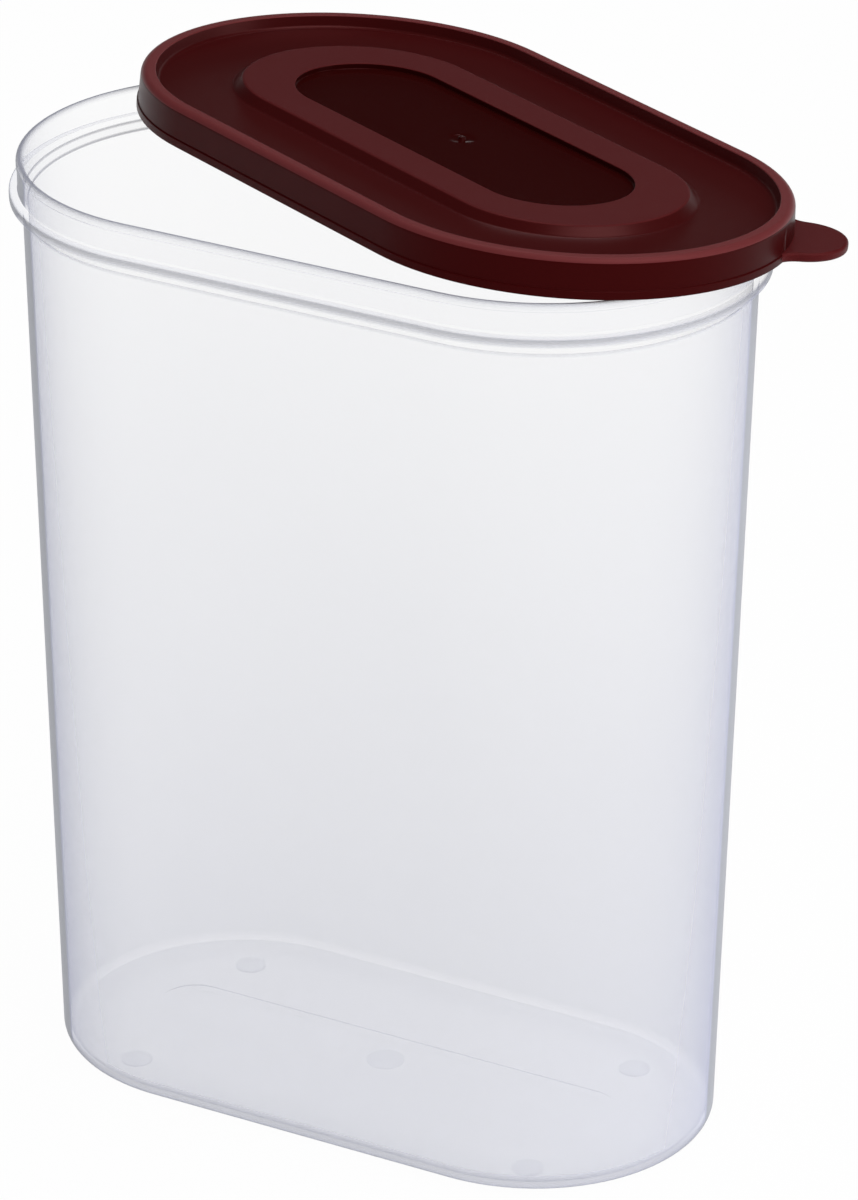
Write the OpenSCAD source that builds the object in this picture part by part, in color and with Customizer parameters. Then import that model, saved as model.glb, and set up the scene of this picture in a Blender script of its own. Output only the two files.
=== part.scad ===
// Oval cereal container with a press-on lid, the lid lying askew on the open rim.
// Millimetres, +Z up. The origin is the centre of the footprint, on the surface it stands on.
//
// Every oval here has straight sides and round ends. Walls are sections swept round an oval. A
// section is drawn with x as the distance outside the oval (negative is inside) and y as height.

/* [Rim] */
// Length over the lip of the container
rim_length = 216; // [180:1:300]
// Width over the lip of the container
rim_width = 119.9; // [100:0.1:160]

/* [Container] */
// Height from the surface it stands on to the top of the lip
container_height = 272.3; // [120:0.1:340]
// Wall thickness
wall = 1.6; // [1.2:0.1:2.5]
// Thickness of the bottom
floor_thickness = 2; // [1.4:0.1:3]
// How much the wall leans in from the flange to the bottom, degrees
wall_draft = 1.54; // [0.5:0.02:2.5]
// Outer radius where the wall turns into the bottom
base_radius = 4.2; // [3:0.1:8]
// Inner radius where the wall meets the floor
floor_radius = 2.6; // [1:0.1:5]
// Thickness of the collar that the lid grips
collar_wall = 1.7; // [1.2:0.1:2.2]
// Height of the collar, from the flange up to the lip
collar_height = 8.9; // [6:0.1:14]
// How far the bead at the lip stands out from the collar
lip_bead = 0.3; // [0.1:0.05:0.6]
// Height of the bead at the lip
lip_bead_height = 2.4; // [1.5:0.1:4]
// How far the flange stands out from the lip
flange_overhang = 2.05; // [1:0.05:4]
// Height of the flange's upright face
flange_height = 2.5; // [1.5:0.1:5]
// Height of the slope under the flange
flange_slope_height = 3.4; // [2:0.1:6]
// How far the wall below the flange lies inside the lip
wall_inset = 1.65; // [0.5:0.05:3]
// Drop from the flange's top to the top of the inner shoulder
shoulder_drop = 1.1; // [0.3:0.1:1.5]
// Height of the inner shoulder where the collar steps in to the wall
shoulder_height = 2.4; // [1.5:0.1:5]
// Radius that breaks the container's small outer edges
edge_radius = 0.5; // [0.2:0.05:0.8]

/* [Base] */
// Distance between the feet along the container
foot_spacing_x = 127.8; // [80:0.2:140]
// Distance between the feet across the container
foot_spacing_y = 65.2; // [40:0.2:80]
// Diameter of each foot
foot_diameter = 9; // [4:0.5:12]
// Height of each foot
foot_height = 0.6; // [0.3:0.1:1.5]
// Length of the raised panel along the middle of the bottom
base_panel_length = 150; // [100:1:160]
// Width of the raised bottom panel
base_panel_width = 23; // [18:0.5:40]
// Width of the step round the raised bottom panel
base_panel_step = 1.2; // [0.8:0.1:2]
// How far the raised bottom panel is pushed up
base_panel_rise = 1.2; // [0.3:0.1:2]
// Diameter of the moulding gate's boss under the bottom
gate_boss_diameter = 11; // [5:0.5:13]
// Height of the moulding gate's boss
gate_boss_height = 0.4; // [0.1:0.1:0.6]

/* [Lid] */
// Wall thickness of the lid
lid_wall = 1.3; // [1:0.1:2]
// Thickness of the lid over the lip
lid_roof = 1.5; // [1.2:0.1:3]
// Space between the lip and the lid over it, closed
lip_headroom = 1.1; // [0.3:0.1:2]
// Width of the flat land round the top of the lid
land_width = 4.8; // [4.2:0.1:7]
// Radius of the outer top edge of the lid
lid_edge_radius = 2; // [0.5:0.1:2.4]
// Radius of the inner edge of the land
land_edge_radius = 0.4; // [0.2:0.1:0.8]
// Radius where the wall under the land meets the deck
deck_fillet = 1.2; // [0.5:0.1:2]
// Depth of the deck below the land
deck_depth = 3.6; // [2.5:0.1:6]
// How much the wall between land and deck leans in
deck_wall_lean = 0.9; // [0.3:0.1:2]
// How much the skirt's face leans out from its top to its bead
skirt_lean = 0.4; // [0.1:0.1:0.8]
// How far the bead at the bottom of the skirt stands out
skirt_bead = 0.4; // [0.2:0.05:0.8]
// Height of the bead at the bottom of the skirt
skirt_bead_height = 2.4; // [1.5:0.1:3]
// How far the ridge inside the skirt reaches under the lip's bead
snap_reach = 0.25; // [0.1:0.05:0.4]
// Height of the ridge inside the skirt
snap_height = 1.4; // [0.8:0.1:2]
// Clearance between the lid's channel and the collar, closed
lid_fit_clearance = 0.2; // [0.1:0.05:0.5]
// Gap left between the skirt and the flange, closed
skirt_gap = 0.3; // [0.2:0.1:1]

/* [Lid panel] */
// Length of the raised panel in the middle of the lid
panel_length = 160.4; // [120:0.2:170]
// Width of the raised panel
panel_width = 67; // [50:0.2:72]
// Height of the raised panel above the deck
panel_rise = 2.6; // [1.5:0.1:4]
// Width of the slope round the raised panel
panel_slope_width = 2.8; // [1.5:0.1:5]
// Radius of the raised panel's shoulder and of the hollow at its foot
panel_radius = 1.5; // [0.5:0.1:2]
// Length of the recess in the raised panel
recess_length = 127.6; // [90:0.2:140]
// Width of the recess
recess_width = 43.2; // [30:0.2:48]
// Radius that breaks the recess's edge
recess_edge_radius = 0.3; // [0.1:0.1:0.6]
// Depth of the recess below the raised panel
recess_depth = 1.6; // [0.8:0.1:3]
// Diameter of the shallow dimple round the lid's gate
gate_dimple_diameter = 8; // [5:0.5:14]
// Depth of the dimple round the lid's gate
gate_dimple_depth = 0.3; // [0.1:0.05:0.5]
// Diameter of the gate nib in the dimple
gate_nib_diameter = 2; // [1:0.1:4]
// Height of the gate nib above the recess
gate_nib_height = 0.4; // [0.1:0.1:1]

/* [Lid tab] */
// Direction of the thumb tab round the end of the lid, degrees from the long axis
tab_angle = 46.4; // [0:0.2:60]
// How far the thumb tab stands out from the skirt
tab_length = 14.7; // [10:0.1:20]
// Width of the thumb tab
tab_width = 27; // [16:0.5:34]
// Thickness of the thumb tab
tab_thickness = 2.6; // [1.2:0.1:3]
// Radius of the thumb tab's outer corners
tab_corner_radius = 13; // [4:0.5:13]
// Radius that breaks the thumb tab's edges
tab_edge_radius = 0.9; // [0.3:0.1:1]
// Radius of the hollow corners where the thumb tab runs out of the skirt
tab_root_radius = 6; // [2:0.5:8]

/* [Lid placement] */
// Whether the lid lies askew on the rim, or is pressed on
lid_place = "askew"; // [askew, closed]
// Turn of the askew lid about the vertical, degrees
lid_yaw = -25.3; // [-30:0.1:-20]
// Tilt of the askew lid about its own long axis, degrees
lid_roll = -4.5; // [-6:0.05:-3]
// Tilt of the askew lid about its own cross axis, degrees
lid_pitch = -0.25; // [-1:0.05:1]
// Shift of the askew lid along the container
lid_shift_x = 8.8; // [4:0.1:12]
// Shift of the askew lid across the container
lid_shift_y = 26.4; // [22:0.1:34]
// Gap left between the askew lid and the lip it rests on
rest_gap = 0.3; // [0.1:0.05:0.5]

/* [Hidden] */
$fn = 128;
container_colour = [0.86, 0.89, 0.93, 0.55];
lid_colour = [0.31, 0.08, 0.09];
arc_step = 15;      // degrees between the points of a section's rounded corners
overlap = 2;        // how far a plate and a swept section reach into each other

collar_outer = -lip_bead;
collar_inner = collar_outer - collar_wall;
flange_top = container_height - collar_height;
flange_bottom = flange_top - flange_height;
wall_top = flange_bottom - flange_slope_height;
shoulder_top = flange_top - shoulder_drop;
base_z = foot_height;
floor_z = base_z + floor_thickness;

// The lid's own heights are measured down from its land
skirt_face = flange_overhang - skirt_bead;
skirt_depth = lid_roof + lip_headroom + collar_height - skirt_gap;
channel_outer = lid_fit_clearance;
channel_inner = collar_inner - lid_fit_clearance;
snap_top = -lid_roof - lip_headroom - lip_bead_height - lid_fit_clearance;
land_inner = flange_overhang - land_width;
deck_edge = land_inner - deck_wall_lean;
deck_z = -deck_depth;
panel_z = deck_z + panel_rise;
recess_z = panel_z - recess_depth;

function unit(v) = v / norm(v);

// Points that round the corner q between p and s with radius r
function round_corner(p, q, s, r) =
    let (
        a = unit(p - q), b = unit(s - q),
        half = acos(a * b) / 2,
        c = q + unit(a + b) * r / sin(half),
        t = q + a * r / tan(half) - c,
        start = atan2(t.y, t.x),
        turn = (a.x * b.y - a.y * b.x > 0 ? 1 : -1) * (2 * half - 180),
        steps = max(2, ceil(abs(turn) / arc_step))
    )
    [for (i = [0 : steps]) let (w = start + turn * i / steps) c + r * [cos(w), sin(w)]];

// A section from corners [x, y, radius], the radius left out where the corner stays sharp
function section(corners) =
    let (n = len(corners), at = function(i) [corners[(i + n) % n].x, corners[(i + n) % n].y])
    [for (i = [0 : n - 1]) each len(corners[i]) < 3 ? [at(i)]
        : round_corner(at(i - 1), at(i), at(i + 1), corners[i][2])];

// Sweeps a section round an oval, given as [length, width]
module round_oval(oval) {
    end_x = (oval.x - oval.y) / 2;
    for (turn = [0, 180]) rotate([0, 0, turn]) {
        translate([end_x, 0, 0]) rotate([0, 0, -90])
            rotate_extrude(angle = 180) translate([oval.y / 2, 0]) children();
        translate([-end_x, 0, 0]) rotate([90, 0, 90])
            linear_extrude(2 * end_x) translate([oval.y / 2, 0]) children();
    }
}

// Plate between heights z0 and z1, in the shape of an oval grown outward by d
module oval_plate(oval, d, z0, z1) {
    end_x = (oval.x - oval.y) / 2;
    translate([0, 0, z0]) linear_extrude(z1 - z0) {
        square([2 * end_x, oval.y + 2 * d], center = true);
        for (side = [-1, 1]) translate([side * end_x, 0]) circle(oval.y / 2 + d);
    }
}

rim = [rim_length, rim_width];
panel = [panel_length, panel_width];
recess = [recess_length, recess_width];

// Distance of the wall's outer face from the rim's oval at height z
function wall_face(z) = -wall_inset - (wall_top - z) * tan(wall_draft);

// Distance of the wall's inner face from the rim's oval at height z
function inner_face(z) = wall_face(z) - wall / cos(wall_draft);

base_join = wall_face(base_z) - base_radius - 2 * overlap;
panel_underside = base_z + base_panel_rise;
base_panel = [base_panel_length, base_panel_width];

// Section of the container: rounded bottom edge, drafted wall, flange, collar and lip, and back
// down the inside
container_section = let (
        shoulder_bottom = shoulder_top - shoulder_height,
        lip_radius = collar_wall / 2
    )
    section([
        [base_join, base_z],
        [wall_face(base_z), base_z, base_radius],
        [wall_face(wall_top), wall_top, 1],
        [flange_overhang, flange_bottom, edge_radius],
        [flange_overhang, flange_top, edge_radius],
        [collar_outer, flange_top, edge_radius / 2],
        [collar_outer, container_height - lip_bead_height, edge_radius / 2],
        [0, container_height - lip_bead_height + lip_bead, edge_radius / 2],
        [0, container_height, lip_radius],
        [collar_inner, container_height, lip_radius],
        [collar_inner, shoulder_top, edge_radius],
        [inner_face(shoulder_bottom), shoulder_bottom, edge_radius],
        [inner_face(floor_z), floor_z, floor_radius],
        [base_join, floor_z]
    ]);

// Section of the step up to the raised bottom panel
base_step_section = let (top = floor_z + base_panel_rise, join = -base_panel_step - 2 * overlap)
    section([
        [2 * overlap, base_z],
        [0, base_z, base_panel_step / 2],
        [-base_panel_step, panel_underside, base_panel_step / 2],
        [join, panel_underside],
        [join, top],
        [-base_panel_step, top, base_panel_step / 2],
        [0, floor_z, base_panel_step / 2],
        [2 * overlap, floor_z]
    ]);

module container() {
    color(container_colour) {
        round_oval(rim) polygon(container_section);
        difference() {
            oval_plate(rim, base_join + overlap, base_z, floor_z);
            oval_plate(base_panel, overlap, base_z - 1, floor_z + 1);
        }
        round_oval(base_panel) polygon(base_step_section);
        oval_plate(base_panel, -base_panel_step - overlap, panel_underside,
                   floor_z + base_panel_rise);
        for (x = [-0.5, 0.5] * foot_spacing_x, y = [-0.5, 0.5] * foot_spacing_y)
            translate([x, y, 0]) cylinder(h = floor_z - floor_thickness / 2, d = foot_diameter);
        translate([0, 0, panel_underside - gate_boss_height])
            cylinder(h = gate_boss_height + floor_thickness / 2, d = gate_boss_diameter);
    }
}

// Section of the lid's rim: snap ridge, skirt with its bead, land, the wall down to the deck and
// the channel for the collar
lid_rim_section = let (
        bead_top = -skirt_depth + skirt_bead_height,
        join_x = deck_edge - 2 * overlap
    )
    section([
        [channel_outer, -skirt_depth, 0.3],
        [flange_overhang, -skirt_depth, skirt_bead],
        [flange_overhang, bead_top, skirt_bead * 0.9],
        [skirt_face, bead_top, 0.2],
        [skirt_face - skirt_lean, 0, lid_edge_radius],
        [land_inner, 0, land_edge_radius],
        [deck_edge, deck_z, deck_fillet],
        [join_x, deck_z],
        [join_x, deck_z - lid_wall],
        [channel_inner, deck_z - lid_wall, lid_wall / 2],
        [channel_inner, -lid_roof, 0.5],
        [channel_outer, -lid_roof, 0.5],
        [channel_outer, snap_top],
        [channel_outer - snap_reach, snap_top - snap_height / 2, 0.4],
        [channel_outer, snap_top - snap_height]
    ]);

// Section of the step from the deck up to the raised panel
panel_step_section = let (shift = lid_wall * panel_rise / norm([panel_rise, panel_slope_width]))
    section([
        [panel_slope_width + overlap, deck_z],
        [panel_slope_width, deck_z, panel_radius],
        [0, panel_z, panel_radius],
        [-2 * overlap, panel_z],
        [-2 * overlap, panel_z - lid_wall],
        [-shift, panel_z - lid_wall, panel_radius / 2],
        [panel_slope_width - shift, deck_z - lid_wall, panel_radius * 1.5],
        [panel_slope_width + overlap, deck_z - lid_wall]
    ]);

// Section of the step from the raised panel down to the floor of its recess
recess_step_section = section([
        [2 * overlap, panel_z],
        [0, panel_z, recess_edge_radius],
        [0, recess_z, recess_edge_radius],
        [-overlap, recess_z],
        [-overlap, recess_z - lid_wall],
        [lid_wall, recess_z - lid_wall, lid_wall / 2],
        [lid_wall, panel_z - lid_wall, recess_edge_radius],
        [2 * overlap, panel_z - lid_wall]
    ]);

// Deck between the rim and the raised panel
module deck() {
    difference() {
        oval_plate(rim, deck_edge - overlap, deck_z - lid_wall, deck_z);
        oval_plate(panel, panel_slope_width + overlap / 2, deck_z - lid_wall - 1, deck_z + 1);
    }
}

// Raised panel with its recess and moulding gate
module raised_panel() {
    round_oval(panel) polygon(panel_step_section);
    round_oval(recess) polygon(recess_step_section);
    difference() {
        oval_plate(panel, -overlap, panel_z - lid_wall, panel_z);
        oval_plate(recess, overlap, panel_z - lid_wall - 1, panel_z + 1);
    }
    difference() {
        oval_plate(recess, -overlap / 2, recess_z - lid_wall, recess_z);
        translate([0, 0, recess_z - gate_dimple_depth])
            cylinder(h = panel_rise, d = gate_dimple_diameter);
    }
    translate([0, 0, recess_z - lid_wall / 2])
        cylinder(h = lid_wall / 2 + gate_nib_height, d = gate_nib_diameter);
}

// Half section of a plate with rounded edges, reaching from x = 0 out to x = reach
function tab_edge_section(reach) = section([
        [0, 0], [reach, 0, tab_edge_radius], [reach, tab_thickness, tab_edge_radius],
        [0, tab_thickness]
    ]);

// Section of what the hollow corner at the tab's root takes away
tab_hollow_section = let (r = tab_root_radius, flare = tab_root_radius + 2 * tab_edge_radius)
    section([
        [0, -1], [flare, -1], [flare, 0], [r, 0, tab_edge_radius],
        [r, tab_thickness, tab_edge_radius], [flare, tab_thickness],
        [flare, tab_thickness + 1], [0, tab_thickness + 1]
    ]);

// Thumb tab, pointing along x from the centre of the lid's round end, its bottom at z = 0. It is
// a slab with discs for corners and a hollow corner each side where it runs out of the skirt
module thumb_tab() {
    skirt_radius = rim.y / 2 + flange_overhang - skirt_bead;
    tip = skirt_radius + tab_length;
    half = tab_width / 2;
    corner = [tip - tab_corner_radius, half - tab_corner_radius];
    hollow_y = half + tab_root_radius;
    hollow_x = sqrt(pow(skirt_radius + tab_root_radius, 2) - pow(hollow_y, 2));
    root = (skirt_radius - overlap / 2) * unit([hollow_x, hollow_y]);
    difference() {
        union() {
            for (side = [-1, 1]) {
                translate([corner.x, side * corner.y, 0])
                    rotate_extrude() polygon(tab_edge_section(tab_corner_radius));
                mirror([0, side < 0 ? 1 : 0, 0]) {
                    translate([root.x - overlap, 0, 0]) rotate([90, 0, 90])
                        linear_extrude(corner.x - root.x + overlap)
                            polygon(tab_edge_section(half));
                    difference() {
                        linear_extrude(tab_thickness)
                            polygon([[root.x - overlap, 0], root, [hollow_x, hollow_y],
                                     [hollow_x, half - overlap], [root.x, 0]]);
                        translate([hollow_x, hollow_y, 0])
                            rotate_extrude() polygon(tab_hollow_section);
                    }
                }
            }
            translate([corner.x - overlap, corner.y, 0]) rotate([90, 0, 0])
                linear_extrude(2 * corner.y) polygon(tab_edge_section(tip - corner.x + overlap));
        }
        translate([0, 0, -1]) cylinder(h = tab_thickness + 2, r = skirt_radius - overlap / 2);
    }
}

// Lid with its land at z = 0
module lid_shape() {
    round_oval(rim) polygon(lid_rim_section);
    deck();
    raised_panel();
    translate([(rim.x - rim.y) / 2, 0, -skirt_depth]) rotate([0, 0, tab_angle]) thumb_tab();
}

// A point of the lip, t from 0 to 1 round it and d outside the rim's oval
function lip_point(t, d) =
    let (
        r = rim.y / 2,
        end_x = (rim.x - rim.y) / 2,
        s = t * (4 * end_x + 2 * PI * r) - end_x,
        half = 2 * end_x + PI * r,
        side = s < half - end_x ? 1 : -1,
        along = side > 0 ? s : s - half
    )
    side * (along < end_x ? [along, r + d]
        : let (a = 90 - (along - end_x) / r * 180 / PI) [end_x, 0] + (r + d) * [cos(a), sin(a)]);

// How far a point of the plan lies outside the rim's oval
function oval_distance(p) =
    norm([max(abs(p.x) - (rim.x - rim.y) / 2, 0), p.y]) - rim.y / 2;

// Height of the lid's underside, d outside the rim's oval; beyond the skirt there is none
function underside(d) =
    d > flange_overhang ? 1000
    : d > channel_outer ? -skirt_depth
    : d > channel_inner ? -lid_roof
    : deck_z - lid_wall;

// Rows of the turn that tilts the askew lid and then turns it, and the turn applied to a point
turn_rows =
    let (cx = cos(lid_roll), sx = sin(lid_roll), cy = cos(lid_pitch), sy = sin(lid_pitch),
         cz = cos(lid_yaw), sz = sin(lid_yaw))
    [
        [cz * cy, cz * sy * sx - sz * cx, cz * sy * cx + sz * sx],
        [sz * cy, sz * sy * sx + cz * cx, sz * sy * cx - cz * sx],
        [-sy, cy * sx, cy * cx]
    ];

// Height of the askew lid's top over the lip at which its lowest point rests there
rest_steps = 900;
lid_lift = rest_gap + max([
    for (i = [0 : rest_steps - 1], a = [-45, 0, 45])
        let (
            q = lip_point(i / rest_steps, collar_inner / 2 * (1 - sin(a))),
            p = [q.x - lid_shift_x, q.y - lid_shift_y, -skirt_depth] * turn_rows,
            z = underside(oval_distance([p.x, p.y]))
        )
        -(turn_rows[2] * [p.x, p.y, z]) - collar_wall / 2 * (1 - cos(a))
]);

module lid() {
    askew = lid_place == "askew";
    place = askew ? [lid_shift_x, lid_shift_y, container_height + lid_lift]
                  : [0, 0, container_height + lip_headroom + lid_roof];
    color(lid_colour) translate(place) rotate(askew ? [lid_roll, lid_pitch, lid_yaw] : [0, 0, 0])
        lid_shape();
}

container();
lid();
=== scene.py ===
# %% [markdown]
# # An oval cereal container with its lid laid askew
#
# The object is two injection mouldings: a tall, thin-walled container in natural polypropylene,
# which is milky and lets light through, and a dark red lid that presses on to its rim. Here the
# lid lies loose and turned on the open rim. In both, the same wall is followed round an oval
# with straight sides and round ends. They could be cut from boxes with bevels, but a section
# keeps every height and radius as it is written. So both are built as stacks of oval rings,
# joined by quads, which gives clean, evenly curved surfaces.

# %% Load the frame
import math

import bmesh
import bpy
from mathutils import Euler, Matrix, Vector
from mathutils.kdtree import KDTree


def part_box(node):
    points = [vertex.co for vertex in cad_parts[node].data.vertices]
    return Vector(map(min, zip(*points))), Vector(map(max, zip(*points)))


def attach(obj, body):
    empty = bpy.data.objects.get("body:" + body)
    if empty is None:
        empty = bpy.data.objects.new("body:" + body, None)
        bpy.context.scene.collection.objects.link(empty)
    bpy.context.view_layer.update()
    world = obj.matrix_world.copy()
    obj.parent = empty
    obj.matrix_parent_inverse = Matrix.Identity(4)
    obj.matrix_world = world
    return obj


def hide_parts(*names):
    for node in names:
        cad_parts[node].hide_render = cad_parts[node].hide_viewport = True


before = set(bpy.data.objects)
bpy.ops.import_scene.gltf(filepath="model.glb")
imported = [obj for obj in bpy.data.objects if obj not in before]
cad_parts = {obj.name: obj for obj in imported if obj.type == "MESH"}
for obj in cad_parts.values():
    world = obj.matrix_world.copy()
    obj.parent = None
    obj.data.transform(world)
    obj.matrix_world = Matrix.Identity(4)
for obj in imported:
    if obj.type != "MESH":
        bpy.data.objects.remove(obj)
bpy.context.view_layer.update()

# %% [markdown]
# ## Sizes
#
# All lengths are in millimetres, as a mould maker writes them, and are turned into metres only
# when a mesh is made. An oval is its length and width. An offset is a distance outward from the
# oval of the container's lip, so one number places a wall all the way round. Sizes that can be
# set by themselves are in capitals, and the heights and offsets that follow from them are not.

# %% Sizes of the container
MM = 0.001
RIM = (216.0, 119.9)
BASE_PANEL = (150.0, 23.0)

HEIGHT = 272.3
WALL = 1.6
FLOOR = 2.0
DRAFT = math.radians(1.54)
WALL_INSET = 1.65
BASE_RADIUS, FLOOR_RADIUS, EDGE_RADIUS = 4.2, 2.6, 0.5
COLLAR_HEIGHT, COLLAR_WALL = 8.9, 1.7
LIP_BEAD, LIP_BEAD_HEIGHT = 0.3, 2.4
FLANGE_REACH, FLANGE_HEIGHT, FLARE_HEIGHT = 2.05, 2.5, 3.4
SHOULDER_DROP, SHOULDER_HEIGHT = 1.1, 2.4
FOOT_HEIGHT = 0.6

rim_end_x = (RIM[0] - RIM[1]) / 2
collar_outer = -LIP_BEAD
collar_inner = collar_outer - COLLAR_WALL
flange_top = HEIGHT - COLLAR_HEIGHT
flange_bottom = flange_top - FLANGE_HEIGHT
wall_top = flange_bottom - FLARE_HEIGHT
shoulder_top = flange_top - SHOULDER_DROP
shoulder_bottom = shoulder_top - SHOULDER_HEIGHT
floor_z = FOOT_HEIGHT + FLOOR


def outer_face(z):
    """Offset of the wall's outer face at height z: it leans in towards the bottom."""
    return -WALL_INSET - (wall_top - z) * math.tan(DRAFT)


def inner_face(z):
    return outer_face(z) - WALL / math.cos(DRAFT)


print("wall leans in by %.1f mm over its height" % (outer_face(wall_top) - outer_face(0)))

# %% [markdown]
# ## Helpers: round the corners of a section, and stack rings into a mesh
#
# A moulding has no knife edges. Rounding the corners of the section before it is swept gives
# every edge a real radius that catches the light, which a bevel modifier could also do, but
# less evenly where edges of different radii meet. The rings all have the same number of points,
# so two neighbours are joined by plain quads.

# %% Round the corners of a section
ARC_STEP = math.radians(9)


def rounded(corners):
    """Points of a section whose corners are (offset, height, radius, mark), where the radius and
    the mark may be left out. A mark is a number that the corner's points carry along; a pair of
    marks fades from one to the other round the corner."""
    points = []
    for i, corner in enumerate(corners):
        tip = Vector(corner[:2])
        mark = corner[3] if len(corner) > 3 else 0.0
        marks = mark if isinstance(mark, tuple) else (mark, mark)
        if len(corner) == 2 or not corner[2]:
            points.append((tip.x, tip.y, marks[0]))
            continue
        radius = corner[2]
        before = (Vector(corners[i - 1][:2]) - tip).normalized()
        after = (Vector(corners[(i + 1) % len(corners)][:2]) - tip).normalized()
        half = before.angle(after) / 2
        centre = tip + (before + after).normalized() * radius / math.sin(half)
        start = tip + before * radius / math.tan(half) - centre
        turn = math.copysign(math.pi - 2 * half, after.x * before.y - after.y * before.x)
        steps = max(2, math.ceil(abs(turn) / ARC_STEP))
        for k in range(steps + 1):
            w = turn * k / steps
            points.append((centre.x + start.x * math.cos(w) - start.y * math.sin(w),
                           centre.y + start.x * math.sin(w) + start.y * math.cos(w),
                           marks[0] + (marks[1] - marks[0]) * k / steps))
    return points


print("a rounded corner of a square has", len(rounded([(0, 0), (4, 0, 1), (4, 4), (0, 4)])) - 3,
      "points")

# %% Rings of points
END_STEPS = 56
SIDE_STEPS = 12


def oval_ring(oval, offset, z):
    """Points round an oval grown by an offset, counter-clockwise from above."""
    r = oval[1] / 2 + offset
    end_x = (oval[0] - oval[1]) / 2
    points = []
    for side in (1, -1):
        for k in range(END_STEPS + 1):
            w = math.radians(-90 + 180 * k / END_STEPS)
            points.append((side * (end_x + r * math.cos(w)), side * r * math.sin(w), z))
        for k in range(1, SIDE_STEPS):
            points.append((side * end_x * (1 - 2 * k / SIDE_STEPS), side * r, z))
    return points


def round_ring(oval, radius, z):
    """A circle whose points lie in the same directions as an oval's, so that the two can join."""
    ring = []
    for x, y, _ in oval_ring(oval, 0, z):
        w = math.atan2(y, x)
        ring.append((radius * math.cos(w), radius * math.sin(w), z))
    return ring


def swept(oval, section):
    """The rings of a section, its marks left out."""
    return [oval_ring(oval, offset, z) for offset, z, _ in section]


print("each ring has", len(oval_ring(RIM, 0, 0)), "points")

# %% The mesh between the rings
SHARP_FROM = math.radians(38)
AREA_WEIGHT = 80


def shell(name, rings, slots=None):
    """Mesh through a stack of rings, closed by a face at each end. Where slots is given, it
    tells the material slot of the faces between two rings."""
    n = len(rings[0])
    vertices = [tuple(c * MM for c in p) for ring in rings for p in ring]
    faces = [(a * n + k, a * n + (k + 1) % n, (a + 1) * n + (k + 1) % n, (a + 1) * n + k)
             for a in range(len(rings) - 1) for k in range(n)]
    faces.append(tuple(reversed(range(n))))
    faces.append(tuple((len(rings) - 1) * n + k for k in range(n)))
    mesh = bpy.data.meshes.new(name)
    mesh.from_pydata(vertices, [], faces)
    if slots:
        for a in range(len(rings) - 1):
            for k in range(n):
                mesh.polygons[a * n + k].material_index = slots(rings[a], rings[a + 1])
    mesh.validate()
    mesh.update()
    piece = bpy.data.objects.new(name, mesh)
    bpy.context.collection.objects.link(piece)
    return piece


def outward(piece):
    """Turns the faces outward and shades them smooth, with flat faces kept flat."""
    work = bmesh.new()
    work.from_mesh(piece.data)
    bmesh.ops.recalc_face_normals(work, faces=work.faces)
    work.to_mesh(piece.data)
    work.free()
    for face in piece.data.polygons:
        face.use_smooth = True
    piece.data.set_sharp_from_angle(angle=SHARP_FROM)
    weighted = piece.modifiers.new("even shading", "WEIGHTED_NORMAL")
    weighted.keep_sharp = True
    weighted.weight = AREA_WEIGHT
    return piece


def join_solid(piece, *others):
    """Unites solids into one, as plastic that was moulded in one go."""
    for other in others:
        union = piece.modifiers.new("join", "BOOLEAN")
        union.operation, union.solver, union.object = "UNION", "EXACT", other
    graph = bpy.context.evaluated_depsgraph_get()
    mesh = bpy.data.meshes.new_from_object(piece.evaluated_get(graph))
    piece.modifiers.clear()
    piece.data = mesh
    for other in others:
        bpy.data.objects.remove(other)
    return piece


print("faces stay smooth across edges of less than %.0f degrees" % math.degrees(SHARP_FROM))

# %% [markdown]
# ## The container
#
# One section goes from the flat of the bottom out to the rounded bottom edge, up the drafted
# wall, round the flange, up the collar that the lid grips, over the lip, and back down the
# inside to the floor. An outer skin with a Solidify modifier would be quicker, but the inside
# isn't a copy of the outside: it steps in under the collar and has a radius of its own at the
# floor.
#
# Natural plastic is clear in thin, smooth walls, but wherever its surface turns sharply it bends
# the light aside, and a thin grey line shows. So the corners of this section carry marks, which
# are painted shade for that line: more cover and a darker colour there. Plain points beside a
# corner, with a mark of nothing, keep its line narrow. A mark below zero makes a slanting face as
# clear as its neighbours.

# %% Container section
FLAT_END = -26.0
lip_radius = COLLAR_WALL / 2
flare_foot = (outer_face(wall_top), wall_top)
flare_top = (FLANGE_REACH, flange_bottom)
step_top = (collar_inner, shoulder_top)
step_foot = (inner_face(shoulder_bottom), shoulder_bottom)


def between(a, b, share):
    """The plain point of a section that lies a share of the way from a to b."""
    return tuple(a[i] + (b[i] - a[i]) * share for i in (0, 1))


# From the flat of the bottom up the wall and out to the flange
outside = [
    (FLAT_END, FOOT_HEIGHT),
    (outer_face(FOOT_HEIGHT), FOOT_HEIGHT, BASE_RADIUS, (0.10, 0.30)),
    (outer_face(7), 7, 0, 0.0),
    (outer_face(wall_top - 1), wall_top - 1, 0, 0.0),
    (*flare_foot, 1.0, 0.16),
    (*between(flare_foot, flare_top, 0.2), 0, -0.26),
    (*between(flare_foot, flare_top, 0.8), 0, -0.26),
]
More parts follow.
